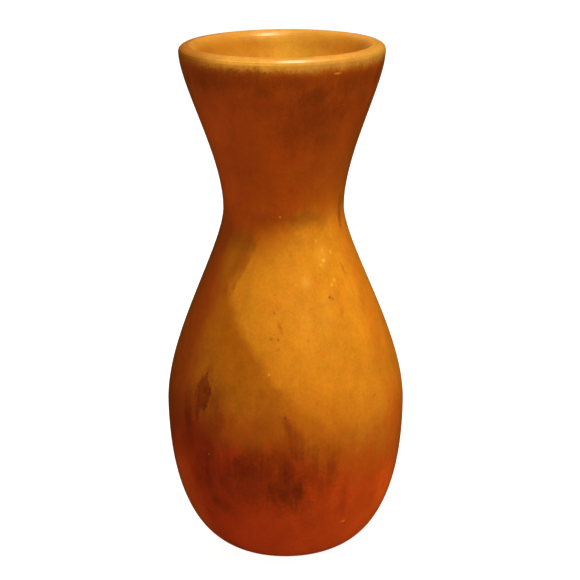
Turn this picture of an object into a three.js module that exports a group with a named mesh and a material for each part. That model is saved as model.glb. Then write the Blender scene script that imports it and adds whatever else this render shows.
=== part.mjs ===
// A hand-turned wooden vase, in millimetres, standing on z = 0 with +Z up and its axis on Z.
//
// The vase is turned in two sections, because a hollow this deep with a throat this narrow
// can't be reached in one piece: the neck has a spigot that is glued into a socket in the belly.
// The belly is hollowed through its foot, and a stepped plug closes that bore from below.
// A felt pad sits in a shallow recess under the foot. A glass liner holds the water: it hangs
// by its flange on a ledge in the throat, and lifts straight out.

import * as THREE from 'three';

// Outside form
const vaseHeight = 300;
const lipRadius = 58.5;
const lipThickness = 11;
const lipCrown = 3.5;
const waistHeight = 205.5;
const waistRadius = 35;
const bellyHeight = 87.5;
const bellyRadius = 70.5;
const footRadius = 40;
const footAngle = THREE.MathUtils.degToRad(28);

// How far each curve holds its direction at its two ends: as a share of the rise that it spans,
// but at the foot as a share of how far the belly stands out over the foot
const footFullness = 0.95;
const underBellyFullness = 0.33;
const overBellyFullness = 0.333;
const underWaistFullness = 0.193;
const overWaistFullness = 0.343;
const underLipFullness = 0.21;

// Glued joint between the neck and the belly
const jointBelowWaist = 19.5;
const socketWall = 5;
const spigotLength = 12;
const spigotWall = 5;
const spigotChamfer = 1;
const glueGap = 0.3;

// Throat, and the ledge that the liner hangs on
const throatWall = 11;
const throatLength = 16;
const seatAboveWaist = 8.5;
const seatWidth = 4;
const seatDepth = 6;

// Hollow of the belly
const bellyWall = 9;
const cavityTopFullness = 0.5;
const cavitySideFullness = 0.45;
const cavityFloorFullness = 0.6;

// Foot, plug and felt
const footRing = 7;
const feltThickness = 2;
const feltProud = 0.8;
const feltClearance = 0.5;
const plugSetback = 3;
const plugFlange = 6;
const plugStep = 4;
const plugSpigot = 8;
const plugChamfer = 1;

// Glass liner
const linerClearance = 1.5;
const linerWall = 2;
const linerBase = 4;
const linerCorner = 8;
const linerFlange = 3;
const linerFlangeEdge = 1;
const linerFlangeClearance = 0.8;
const linerAboveFloor = 8;

// Facets round the axis
const woodFacets = 56;
const glassFacets = 48;

// Places worked out from the sizes above
const lipHeight = vaseHeight - lipCrown;
const lipInnerRadius = lipRadius - lipThickness;
const jointHeight = waistHeight - jointBelowWaist;
const spigotEnd = jointHeight - spigotLength;
const throatRadius = waistRadius - throatWall;
const seatHeight = waistHeight + seatAboveWaist;
const seatRadius = throatRadius + seatWidth;
const seatTop = seatHeight + seatDepth;
const throatEnd = seatHeight - throatLength;
const cavityRadius = bellyRadius - bellyWall;
const recessRadius = footRadius - footRing;
const plugRadius = recessRadius - plugSetback;
const plugSpigotRadius = plugRadius - plugStep;
const plugShoulder = feltThickness + plugFlange;
const floorHeight = plugShoulder + plugSpigot;

const at = (radius, height) => new THREE.Vector2(radius, height);

// The outside is one line from foot to lip: three curves that meet upright at the belly and
// at the waist. Both turned sections are cut from it, so it runs on over their joint.
const footCurve = new THREE.CubicBezierCurve(
  at(footRadius, feltProud),
  at(
    footRadius + footFullness * (bellyRadius - footRadius) * Math.cos(footAngle),
    feltProud + footFullness * (bellyRadius - footRadius) * Math.sin(footAngle),
  ),
  at(bellyRadius, bellyHeight - underBellyFullness * (bellyHeight - feltProud)),
  at(bellyRadius, bellyHeight),
);
const shoulderCurve = new THREE.CubicBezierCurve(
  at(bellyRadius, bellyHeight),
  at(bellyRadius, bellyHeight + overBellyFullness * (waistHeight - bellyHeight)),
  at(waistRadius, waistHeight - underWaistFullness * (waistHeight - bellyHeight)),
  at(waistRadius, waistHeight),
);
const flareCurve = new THREE.CubicBezierCurve(
  at(waistRadius, waistHeight),
  at(waistRadius, waistHeight + overWaistFullness * (lipHeight - waistHeight)),
  at(lipRadius, lipHeight - underLipFullness * (lipHeight - waistHeight)),
  at(lipRadius, lipHeight),
);

// Where a rising curve reaches a height, found by halving
function shareAtHeight(curve, height) {
  let below = 0;
  let above = 1;
  for (let step = 0; step < 50; step += 1) {
    const middle = (below + above) / 2;
    if (curve.getPoint(middle).y < height) below = middle;
    else above = middle;
  }
  return (below + above) / 2;
}

// Points from one share of a curve to another, both ends included
function stretch(curve, from, to, steps) {
  const points = [];
  for (let step = 0; step <= steps; step += 1) {
    points.push(curve.getPoint(from + (to - from) * (step / steps)));
  }
  return points;
}

const jointShare = shareAtHeight(shoulderCurve, jointHeight);
const jointRadius = shoulderCurve.getPoint(jointShare).x;
const socketRadius = jointRadius - socketWall;
const spigotRadius = socketRadius - glueGap;
const spigotBore = spigotRadius - spigotWall;

// A closed profile of radius and height, turned round Z. The outside runs up and the inside
// runs down, so that every face points out.
function turned(profile, facets) {
  const geometry = new THREE.LatheGeometry(profile, facets);
  geometry.rotateX(Math.PI / 2);
  return geometry;
}

function neckProfile() {
  const crown = [];
  const crownSteps = 10;
  for (let step = 1; step < crownSteps; step += 1) {
    const angle = Math.PI * (step / crownSteps);
    const radius = lipRadius - (lipThickness / 2) * (1 - Math.cos(angle));
    crown.push(at(radius, lipHeight + lipCrown * Math.sin(angle)));
  }
  const funnel = new THREE.CubicBezierCurve(
    at(lipInnerRadius, lipHeight),
    at(lipInnerRadius, lipHeight - underLipFullness * (lipHeight - seatTop)),
    at(seatRadius, seatTop + overWaistFullness * (lipHeight - seatTop)),
    at(seatRadius, seatTop),
  );
  const bellMouth = new THREE.CubicBezierCurve(
    at(throatRadius, throatEnd),
    at(throatRadius, (throatEnd + spigotEnd) / 2),
    at(spigotBore, (throatEnd + spigotEnd) / 2),
    at(spigotBore, spigotEnd),
  );
  return [
    at(spigotBore, spigotEnd),
    at(spigotRadius - spigotChamfer, spigotEnd),
    at(spigotRadius, spigotEnd + spigotChamfer),
    at(spigotRadius, jointHeight),
    at(jointRadius, jointHeight),
    ...stretch(shoulderCurve, jointShare, 1, 3).slice(1),
    ...stretch(flareCurve, 0, 1, 11).slice(1),
    ...crown,
    ...stretch(funnel, 0, 1, 9),
    at(seatRadius, seatHeight),
    at(throatRadius, seatHeight),
    ...stretch(bellMouth, 0, 1, 4),
  ];
}

function bellyProfile() {
  const innerShoulder = new THREE.CubicBezierCurve(
    at(spigotBore, spigotEnd - glueGap),
    at(spigotBore, spigotEnd - glueGap - underWaistFullness * (spigotEnd - bellyHeight)),
    at(cavityRadius, bellyHeight + cavityTopFullness * (spigotEnd - bellyHeight)),
    at(cavityRadius, bellyHeight),
  );
  const innerBowl = new THREE.CubicBezierCurve(
    at(cavityRadius, bellyHeight),
    at(cavityRadius, bellyHeight - cavitySideFullness * (bellyHeight - floorHeight)),
    at(plugSpigotRadius + cavityFloorFullness * (cavityRadius - plugSpigotRadius), floorHeight),
    at(plugSpigotRadius + glueGap, floorHeight),
  );
  return [
    at(recessRadius, feltProud),
    ...stretch(footCurve, 0, 1, 13),
    ...stretch(shoulderCurve, 0, jointShare, 11).slice(1, -1),
    at(jointRadius, jointHeight),
    at(socketRadius, jointHeight),
    at(socketRadius, spigotEnd - glueGap),
    ...stretch(innerShoulder, 0, 1, 9),
    ...stretch(innerBowl, 0, 1, 10).slice(1),
    at(plugSpigotRadius + glueGap, plugShoulder),
    at(plugRadius + glueGap, plugShoulder),
    at(plugRadius + glueGap, feltThickness),
    at(recessRadius, feltThickness),
    at(recessRadius, feltProud),
  ];
}

function plugProfile() {
  return [
    at(0, feltThickness),
    at(plugRadius, feltThickness),
    at(plugRadius, plugShoulder),
    at(plugSpigotRadius, plugShoulder),
    at(plugSpigotRadius, floorHeight - plugChamfer),
    at(plugSpigotRadius - plugChamfer, floorHeight),
    at(0, floorHeight),
  ];
}

function feltProfile() {
  const feltRadius = recessRadius - feltClearance;
  return [
    at(0, 0),
    at(feltRadius, 0),
    at(feltRadius, feltThickness),
    at(0, feltThickness),
  ];
}

// A quarter round of a profile, from pointing down to pointing out or back again
function corner(centreRadius, centreHeight, radius, from, to, steps) {
  const arc = new THREE.EllipseCurve(centreRadius, centreHeight, radius, radius, from, to, to < from);
  return arc.getPoints(steps);
}

function linerProfile() {
  const radius = throatRadius - linerClearance;
  const bore = radius - linerWall;
  const bottom = floorHeight + linerAboveFloor;
  const innerCorner = linerCorner - linerWall;
  const flangeRadius = seatRadius - linerFlangeClearance;
  const flangeTop = seatHeight + linerFlange;
  const edge = linerFlangeEdge;
  const down = -Math.PI / 2;
  const up = Math.PI / 2;
  return [
    at(0, bottom),
    ...corner(radius - linerCorner, bottom + linerCorner, linerCorner, down, 0, 4),
    at(radius, seatHeight),
    at(flangeRadius, seatHeight),
    ...corner(flangeRadius - edge, flangeTop - edge, edge, 0, up, 2),
    ...corner(bore + edge, flangeTop - edge, edge, up, Math.PI, 2),
    ...corner(bore - innerCorner, bottom + linerBase + innerCorner, innerCorner, 0, down, 4),
    at(0, bottom + linerBase),
  ];
}

const russetWood = new THREE.MeshStandardMaterial({ color: 0x8a3a0c, roughness: 0.38, metalness: 0 });
const amberWood = new THREE.MeshStandardMaterial({ color: 0xc9761c, roughness: 0.38, metalness: 0 });
const bareWood = new THREE.MeshStandardMaterial({ color: 0xc39a63, roughness: 0.75, metalness: 0 });
const greenFelt = new THREE.MeshStandardMaterial({ color: 0x2f4a33, roughness: 1, metalness: 0 });
const clearGlass = new THREE.MeshStandardMaterial({
  color: 0xdfeeea,
  roughness: 0.05,
  metalness: 0,
  transparent: true,
  opacity: 0.35,
});

function piece(name, geometry, material) {
  const mesh = new THREE.Mesh(geometry, material);
  mesh.name = name;
  return mesh;
}

const vase = new THREE.Group();
vase.add(piece('neck', turned(neckProfile(), woodFacets), russetWood));
vase.add(piece('belly', turned(bellyProfile(), woodFacets), amberWood));
vase.add(piece('base_plug', turned(plugProfile(), woodFacets), bareWood));
vase.add(piece('felt_pad', turned(feltProfile(), woodFacets), greenFelt));
vase.add(piece('glass_liner', turned(linerProfile(), glassFacets), clearGlass));

export default vase;
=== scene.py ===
# %% [markdown]
# # A turned wooden vase
#
# This lesson dresses a vase that was turned on a lathe in two sections, glued at the foot of
# its neck, hollowed out, plugged below, stained and waxed. A glass liner hangs in the throat
# and holds the water.
#
# The construction model gives the true sizes. Here each piece is turned again with a finer
# surface and eased edges, and gets its finish. Every piece then rides on a body of that model.

from math import cos, pi, radians, sin

import bpy
from mathutils import Matrix, Vector
from mathutils.geometry import interpolate_bezier


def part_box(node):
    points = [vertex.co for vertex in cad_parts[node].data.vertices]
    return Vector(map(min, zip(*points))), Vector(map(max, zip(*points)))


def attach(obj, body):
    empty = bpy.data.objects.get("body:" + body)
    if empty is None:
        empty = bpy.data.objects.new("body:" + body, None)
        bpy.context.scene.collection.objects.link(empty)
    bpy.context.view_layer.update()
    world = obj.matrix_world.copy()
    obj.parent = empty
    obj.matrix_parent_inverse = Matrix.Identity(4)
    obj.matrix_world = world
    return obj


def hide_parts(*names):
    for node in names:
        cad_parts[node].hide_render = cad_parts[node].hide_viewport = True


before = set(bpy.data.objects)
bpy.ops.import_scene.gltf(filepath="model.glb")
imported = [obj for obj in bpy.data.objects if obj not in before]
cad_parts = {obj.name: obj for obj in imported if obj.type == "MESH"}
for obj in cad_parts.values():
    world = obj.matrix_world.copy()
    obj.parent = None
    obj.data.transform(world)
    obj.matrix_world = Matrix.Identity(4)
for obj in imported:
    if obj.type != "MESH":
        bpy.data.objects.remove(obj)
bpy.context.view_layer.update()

# %% [markdown]
# ## The camera
#
# The photograph looks slightly down on the vase with a long lens. The camera is placed from
# four numbers: where it aims, how far away it stands, how high it looks from and how much it is
# rolled. A camera that is aimed like this keeps its framing when one of them is changed.

# %% Camera
AIM = Vector((0.00325, 0.0, 0.15414))
CAMERA_DISTANCE = 0.95
CAMERA_ELEVATION = radians(17.34)
CAMERA_ROLL = -0.0094

camera_data = bpy.data.cameras.new("camera")
camera_data.lens = 100.0
camera_data.sensor_width = 36.0
camera_data.clip_start = 0.01
camera_data.clip_end = 50.0
camera = bpy.data.objects.new("camera", camera_data)
bpy.context.scene.collection.objects.link(camera)
bpy.context.scene.camera = camera

look = Vector((0.0, cos(CAMERA_ELEVATION), -sin(CAMERA_ELEVATION)))
camera.matrix_world = (
    Matrix.Translation(AIM - CAMERA_DISTANCE * look)
    @ Matrix.Rotation(pi / 2 - CAMERA_ELEVATION, 4, "X")
    @ Matrix.Rotation(CAMERA_ROLL, 4, "Z")
)
print("camera at", [round(c, 3) for c in camera.matrix_world.translation])

# %% [markdown]
# ## A way to write nodes
#
# The light, the lathe and every finish are node trees that are built by the script. One helper
# adds a node and fills its inputs: a number is typed into a socket, and another node's output
# is linked to it. Others do arithmetic and blending, so that a formula reads from the inside
# out.

# %% Helpers for node trees
def add_node(tree, kind, inputs=None, **settings):
    """A node with its settings, and its inputs typed in or linked."""
    node = tree.nodes.new(kind)
    for name, value in settings.items():
        setattr(node, name, value)
    for name, value in (inputs or {}).items():
        if isinstance(value, bpy.types.NodeSocket):
            tree.links.new(value, node.inputs[name])
        else:
            node.inputs[name].default_value = value
    return node


def calc(tree, operation, *values):
    """The result of one sum, such as calc(tree, "ADD", a, 2.0)."""
    return add_node(tree, "ShaderNodeMath", dict(enumerate(values)), operation=operation).outputs[0]


def ease_between(tree, value, low, high):
    """A share that rises softly from 0 to 1 while a value goes from low to high."""
    return add_node(
        tree,
        "ShaderNodeMapRange",
        {"Value": value, "From Min": low, "From Max": high},
        interpolation_type="SMOOTHSTEP",
    ).outputs[0]


def blend(tree, share, first, second, way="MIX"):
    """Two colours blended, by a share of the second."""
    node = add_node(tree, "ShaderNodeMix", data_type="RGBA", blend_type=way)
    for place, value in ((0, share), (6, first), (7, second)):
        if isinstance(value, bpy.types.NodeSocket):
            tree.links.new(value, node.inputs[place])
        else:
            node.inputs[place].default_value = value
    return node.outputs[2]


# %% [markdown]
# ## Light
#
# One soft lamp hangs high up, in front of the vase and to its right. It leaves the flared neck
# in the shadow of its own lip, and lights the shoulder of the belly. A lamp of that size would
# also lay a broad shine over the shoulder, which the photograph doesn't show, so it is kept out
# of the gloss. A narrower lamp beside it does the opposite: it shows in the gloss alone, and
# makes the two small glints on the lip. A wide weak lamp behind the vase lights its back for
# the other views, and stays out of the gloss too.
#
# The shadows are filled by the world: dim from above, and warmer and brighter from below, as
# from a table top. Gloss shows a darker room, because bright surroundings would lay a grey film
# over such deep colours. The camera itself sees a plain white backdrop there.

# %% Lamps
bpy.context.scene.view_settings.view_transform = "Standard"
bpy.context.scene.view_settings.look = "None"

VASE_MIDDLE = Vector((0.0, 0.0, 0.15))
WARM_WHITE = (1.0, 0.97, 0.92)
SOFT_WHITE = (1.0, 0.98, 0.95)


def add_lamp(name, bearing, elevation, distance, size, power, colour):
    """An area lamp that faces the middle of the vase. Bearings run from the front to the right."""
    data = bpy.data.lights.new(name, "AREA")
    data.shape = "RECTANGLE"
    data.size, data.size_y = size
    data.energy = power
    data.color = colour
    lamp = bpy.data.objects.new(name, data)
    bpy.context.scene.collection.objects.link(lamp)
    bearing, elevation = radians(bearing), radians(elevation)
    towards = Vector(
        (
            cos(elevation) * sin(bearing),
            -cos(elevation) * cos(bearing),
            sin(elevation),
        )
    )
    lamp.location = VASE_MIDDLE + distance * towards
    lamp.rotation_euler = towards.to_track_quat("Z", "Y").to_euler()
    return lamp


key_lamp = add_lamp(
    "key_lamp", bearing=46, elevation=66, distance=1.6, size=(1.0, 0.5), power=37.0, colour=WARM_WHITE
)
key_lamp.visible_glossy = False
glint_lamp = add_lamp(
    "glint_lamp", bearing=30, elevation=68, distance=1.6, size=(0.42, 1.0), power=29.0, colour=WARM_WHITE
)
glint_lamp.visible_diffuse = False
back_lamp = add_lamp(
    "back_lamp", bearing=190, elevation=38, distance=1.8, size=(1.4, 1.0), power=14.0, colour=SOFT_WHITE
)
back_lamp.visible_glossy = False

# %% World
ABOVE_LIGHT = (0.19, 0.18, 0.17, 1.0)
BELOW_LIGHT = (0.85, 0.52, 0.28, 1.0)
ROOM_IN_GLOSS = (0.035, 0.024, 0.002, 1.0)
WHITE = (1.0, 1.0, 1.0, 1.0)
HORIZON_BLUR = 0.15

world = bpy.data.worlds.new("studio")
bpy.context.scene.world = world
world.use_nodes = True
sky = world.node_tree
direction = add_node(sky, "ShaderNodeTexCoord").outputs["Generated"]
rise = add_node(sky, "ShaderNodeSeparateXYZ", {"Vector": direction}).outputs["Z"]
fill = blend(sky, ease_between(sky, rise, -HORIZON_BLUR, HORIZON_BLUR), BELOW_LIGHT, ABOVE_LIGHT)
ray = add_node(sky, "ShaderNodeLightPath").outputs
fill = blend(sky, ray["Is Glossy Ray"], fill, ROOM_IN_GLOSS)
fill = blend(sky, ray["Is Camera Ray"], fill, WHITE)
sky.links.new(fill, sky.nodes["Background"].inputs["Color"])
print("world:", len(sky.nodes), "nodes")

# %% [markdown]
# ## The floor
#
# The floor is a plain pale disc, large enough to fill the picture. A plane would do as well,
# but its corners could show. A glow of its own makes it as white as the backdrop, near the
# lamps and far from them, so no edge shows between the two. Light that leaves it doesn't reach
# the vase, because a white floor would light the shaded underside of the belly, which is deep
# and dark in the photograph.

# %% Floor
FLOOR_RADIUS = 6.0
FLOOR_COLOUR = (0.3, 0.3, 0.29, 1.0)
FLOOR_GLOW = 0.97

pale = bpy.data.materials.new("pale_floor")
pale.use_nodes = True
pale_shader = pale.node_tree.nodes["Principled BSDF"]
pale_shader.inputs["Base Color"].default_value = FLOOR_COLOUR
pale_shader.inputs["Roughness"].default_value = 0.9
pale_shader.inputs["Emission Color"].default_value = WHITE
pale_shader.inputs["Emission Strength"].default_value = FLOOR_GLOW

bpy.ops.mesh.primitive_circle_add(vertices=96, radius=FLOOR_RADIUS, fill_type="NGON")
floor = bpy.context.object
floor.name = "floor"
floor.data.materials.append(pale)
floor.visible_diffuse = False
floor.visible_glossy = False
print("floor reaches", FLOOR_RADIUS, "m")

# %% [markdown]
# ## Sizes of the form
#
# A turned piece is its outline, so the sizes are radii and heights. Those that the model's
# boxes show are read from it, and the others repeat its values. All are in metres.

# %% Sizes
MM = 0.001

neck_low, neck_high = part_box("neck")
belly_low, belly_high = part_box("belly")
plug_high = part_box("base_plug")[1]
felt_low, felt_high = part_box("felt_pad")
liner_low, liner_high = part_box("glass_liner")

vase_height = neck_high.z
lip_radius = neck_high.x
lip_crown = 3.5 * MM
lip_height = vase_height - lip_crown
lip_thickness = 11 * MM
waist_height = 205.5 * MM
waist_radius = 35 * MM
belly_height = 87.5 * MM
belly_radius = belly_high.x
belly_wall = 9 * MM
foot_radius = 40 * MM
foot_height = belly_low.z
joint_height = belly_high.z
spigot_end = neck_low.z
glue_gap = 0.3 * MM
socket_wall = 5 * MM
spigot_wall = 5 * MM
throat_radius = 24 * MM
throat_end = 198 * MM
seat_radius = 28 * MM
seat_height = 214 * MM
seat_top = 220 * MM
cavity_radius = belly_radius - belly_wall
recess_radius = 33 * MM
plug_radius = plug_high.x
plug_step = 4 * MM
plug_step_radius = plug_radius - plug_step
plug_shoulder = 8 * MM
print("belly", round(2 * belly_radius / MM, 1), "mm across, joint at", round(joint_height / MM, 1))

# %% [markdown]
# ## Drawing an outline
#
# An outline is drawn as with a pen: straight to a corner, or along a curve with two handles. A
# maker breaks each sharp edge with sandpaper, so each corner has an ease, the radius of its
# rounding. A Bevel modifier could round them all alike, but a felt's edge isn't a lip's. A
# point also says how much stain and wax reach it, from 1 outside to 0 on bare wood.

# %% Outline pen: strokes
POINT_SPACING = 1.4 * MM
STRAIGHTS_SPACED = 4
FEWEST_ON_CURVE = 4
EASE_STEPS = 5
# How far the handles of a quarter of a circle reach, as a share of its radius
QUARTER = 0.5523


def corner(radius, height, ease=0.0, stained=0.0):
    """A straight line to a corner."""
    return {"at": Vector((radius, 0, height)), "ease": ease, "stained": stained}


def curve(first, second, radius, height, stained=0.0):
    """A curve to a point, with its two handles as (radius, height)."""
    handles = [Vector((r, 0, h)) for r, h in (first, second)]
    return {"at": Vector((radius, 0, height)), "ease": 0.0, "stained": stained, "handles": handles}


def rounded(start, tip, end, stained=0.0):
    """A quarter of an ellipse from start to end, inside a square corner whose tip is given."""
    first = [s + QUARTER * (t - s) for s, t in zip(start, tip)]
    second = [e + QUARTER * (t - e) for e, t in zip(end, tip)]
    return curve(first, second, *end, stained)


def run(start, stroke):
    """The points of one stroke after its start, evenly spread."""
    end = stroke["at"]
    if "handles" not in stroke:
        count = max(1, round((end - start).length / POINT_SPACING / STRAIGHTS_SPACED))
        return [start.lerp(end, step / count) for step in range(1, count + 1)]
    count = max(FEWEST_ON_CURVE, round((end - start).length / POINT_SPACING))
    return list(interpolate_bezier(start, *stroke["handles"], end, count + 1))[1:]


print("pen: a point each", round(POINT_SPACING / MM, 2), "mm on curves")


# %% Outline pen: from strokes to points
def ease_corner(point, before, after, ease):
    """The points of a rounding that replaces a sharp corner."""
    start = point + ease * (before - point).normalized()
    end = point + ease * (after - point).normalized()
    handles = start.lerp(point, QUARTER), end.lerp(point, QUARTER)
    return interpolate_bezier(start, *handles, end, EASE_STEPS + 1)


def draw_outline(name, strokes, closed=True):
    """An object that holds the outline's points in order, for the lathe to read."""
    points = [] if closed else [(strokes[0]["at"], 0.0, strokes[0]["stained"])]
    start = strokes[-1]["at"] if closed else strokes[0]["at"]
    for stroke in strokes if closed else strokes[1:]:
        passed = run(start, stroke)
        points += [(point, 0.0, stroke["stained"]) for point in passed[:-1]]
        points.append((passed[-1], stroke["ease"], stroke["stained"]))
        start = stroke["at"]
    eased, marks = [], []
    for here, (point, ease, stained) in enumerate(points):
        rounding = [point]
        if ease > 0:
            after = points[(here + 1) % len(points)][0]
            rounding = ease_corner(point, points[here - 1][0], after, ease)
        eased += rounding
        marks += [stained] * len(rounding)
    mesh = bpy.data.meshes.new(name)
    mesh.from_pydata(eased, [], [])
    mesh.attributes.new("stained", "FLOAT", "POINT").data.foreach_set("value", marks)
    print(f"{name}: {len(eased)} points")
    return bpy.data.objects.new(name, mesh)


# %% [markdown]
# ## One outside line for two sections
#
# The outside runs from foot to lip in three curves that meet upright, at the widest place of
# the belly and at the waist. Each section could be drawn by itself, but then the line could
# break where they meet. Both are cut from the one line at the glued joint instead, so it runs
# on over that joint without a kink. Blending a curve's points two by two, again and again,
# gives the point at a share of it and the handles of both parts.

# %% Cut a curve at a height
def halves(points, share):
    """The two parts of a curve of four (radius, height) points, each as four such points."""
    lower, upper = [points[0]], [points[-1]]
    while len(points) > 1:
        points = [a.lerp(b, share) for a, b in zip(points, points[1:])]
        lower.append(points[0])
        upper.insert(0, points[-1])
    return lower, upper


def cut_at_height(points, height, tries=40):
    """The parts of a rising curve below and above a height, found by halving."""
    low, high = 0.0, 1.0
    for _ in range(tries):
        share = (low + high) / 2
        if halves(points, share)[0][-1].y < height:
            low = share
        else:
            high = share
    return halves(points, share)


def upright(low, high, low_share, high_share):
    """A curve that leaves its lower end and reaches its upper end going straight up."""
    rise = high[1] - low[1]
    ends = Vector(low), Vector(high)
    return [
        ends[0],
        ends[0] + Vector((0, low_share * rise)),
        ends[1] - Vector((0, high_share * rise)),
        ends[1],
    ]


def along(line, stained=0.0):
    """A curve stroke along a line of four points, upwards."""
    return curve(line[1], line[2], *line[3], stained)


def back_along(line, stained=0.0):
    """A curve stroke along a line of four points, downwards."""
    return curve(line[2], line[1], *line[0], stained)


# %% The outside line, cut at the joint
# How far a curve holds its direction at an end: at the foot as a share of the overhang of the
# belly, and elsewhere as a share of the rise that the curve spans
FOOT_FULLNESS = 0.95
FOOT_ANGLE = radians(28)
UNDER_BELLY = 0.33
OVER_BELLY = 0.333
UNDER_WAIST = 0.193
OVER_WAIST = 0.343
UNDER_LIP = 0.21

foot_reach = FOOT_FULLNESS * (belly_radius - foot_radius)
foot_line = [
    Vector((foot_radius, foot_height)),
    Vector((foot_radius + foot_reach * cos(FOOT_ANGLE), foot_height + foot_reach * sin(FOOT_ANGLE))),
    Vector((belly_radius, belly_height - UNDER_BELLY * (belly_height - foot_height))),
    Vector((belly_radius, belly_height)),
]
waist = (waist_radius, waist_height)
shoulder_line = upright((belly_radius, belly_height), waist, OVER_BELLY, UNDER_WAIST)
flare_line = upright(waist, (lip_radius, lip_height), OVER_WAIST, UNDER_LIP)
funnel_top = (lip_radius - lip_thickness, lip_height)
funnel_line = upright((seat_radius, seat_top), funnel_top, OVER_WAIST, UNDER_LIP)
belly_shoulder, neck_shoulder = cut_at_height(shoulder_line, joint_height)
joint_radius = neck_shoulder[0].x
socket_radius = joint_radius - socket_wall
spigot_radius = socket_radius - glue_gap
spigot_bore = spigot_radius - spigot_wall
print("joint radius", round(joint_radius / MM, 2), "mm, spigot bore", round(spigot_bore / MM, 2))

# %% [markdown]
# ## A lathe made of nodes
#
# On a lathe the wood spins and the tool follows one outline. Here a flat grid does it: it has a
# row for each point of the outline and a column for each facet round the axis. Each vertex
# looks up its row's radius and height, and its column says how far it has turned. Spin or a
# Screw modifier would do the same once. A node tree can be tried at other settings, and it also
# lays the slight waves of hand work over the surface before the mesh is made.

# %% The lathe: turn a grid
def turn_grid(tree, given, outline):
    """The turned grid, and the row of the outline that each of its vertices reads."""
    size = add_node(tree, "GeometryNodeAttributeDomainSize", {"Geometry": outline}, component="MESH")
    count = size.outputs["Point Count"]
    rows = calc(tree, "ADD", count, given["Closed Outline"])
    columns = calc(tree, "ADD", given["Facets"], 1)
    grid = add_node(
        tree,
        "GeometryNodeMeshGrid",
        {"Size X": 1.0, "Size Y": 1.0, "Vertices X": columns, "Vertices Y": rows},
    )

    index = tree.nodes.new("GeometryNodeInputIndex").outputs[0]
    row = calc(tree, "MODULO", calc(tree, "MODULO", index, rows), count)
    column = calc(tree, "FLOOR", calc(tree, "DIVIDE", index, rows))
    turn = calc(tree, "MULTIPLY", calc(tree, "DIVIDE", column, given["Facets"]), 2 * pi)

    looked_up = add_node(
        tree,
        "GeometryNodeSampleIndex",
        {
            "Geometry": outline,
            "Value": tree.nodes.new("GeometryNodeInputPosition").outputs[0],
            "Index": row,
        },
        data_type="FLOAT_VECTOR",
    )
    profile = add_node(tree, "ShaderNodeSeparateXYZ", {"Vector": looked_up.outputs[0]}).outputs
    across = calc(tree, "MULTIPLY", profile["X"], calc(tree, "SINE", turn))
    deep = calc(tree, "MULTIPLY", profile["X"], calc(tree, "MULTIPLY", calc(tree, "COSINE", turn), -1))
    turned = add_node(tree, "ShaderNodeCombineXYZ", {"X": across, "Y": deep, "Z": profile["Z"]})
    shaped = add_node(
        tree,
        "GeometryNodeSetPosition",
        {"Geometry": grid.outputs["Mesh"], "Position": turned.outputs[0]},
    )
    return shaped.outputs[0], row


# %% The lathe: carry the stain mark over, and close the seam
SEAM_MERGE = 0.002 * MM


def read_stained(tree):
    """The stain mark of each point."""
    node = add_node(tree, "GeometryNodeInputNamedAttribute", {"Name": "stained"}, data_type="FLOAT")
    return node.outputs["Attribute"]


def mark_and_close(tree, shaped, outline, row):
    """The turned form with the outline's stain mark, and with its seam and poles merged."""
    mark_here = add_node(
        tree,
        "GeometryNodeSampleIndex",
        {"Geometry": outline, "Value": read_stained(tree), "Index": row},
        data_type="FLOAT",
    )
    marked = add_node(
        tree,
        "GeometryNodeStoreNamedAttribute",
        {"Geometry": shaped, "Name": "stained", "Value": mark_here.outputs[0]},
        data_type="FLOAT",
        domain="POINT",
    )
    closed = add_node(
        tree,
        "GeometryNodeMergeByDistance",
        {"Geometry": marked.outputs[0], "Distance": SEAM_MERGE},
    )
    return closed.outputs[0]


# %% The lathe: waves of hand work
def lay_waves(tree, given, closed):
    """The form with slight waves, outwards and inwards, where it is stained."""
    place = tree.nodes.new("GeometryNodeInputPosition").outputs[0]
    flat = add_node(tree, "ShaderNodeVectorMath", {0: place, 1: (1, 1, 0)}, operation="MULTIPLY")
    outwards = add_node(tree, "ShaderNodeVectorMath", {0: flat.outputs[0]}, operation="NORMALIZE")
    waves = add_node(
        tree,
        "ShaderNodeTexNoise",
        {
            "Vector": place,
            "W": given["Seed"],
            "Scale": calc(tree, "DIVIDE", 1.0, given["Wave Length"]),
            "Detail": 1.0,
        },
        noise_dimensions="4D",
    )
    swell = calc(tree, "MULTIPLY", calc(tree, "SUBTRACT", waves.outputs[0], 0.5), 2.0)
    wave_height = calc(tree, "MULTIPLY", given["Wave Height"], read_stained(tree))
    push = add_node(
        tree,
        "ShaderNodeVectorMath",
        {"Vector": outwards.outputs[0], "Scale": calc(tree, "MULTIPLY", swell, wave_height)},
        operation="SCALE",
    )
    waved = add_node(tree, "GeometryNodeSetPosition", {"Geometry": closed, "Offset": push.outputs[0]})
    return waved.outputs[0]


# %% The lathe: put together
SHARP_ANGLE = radians(40)


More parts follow.
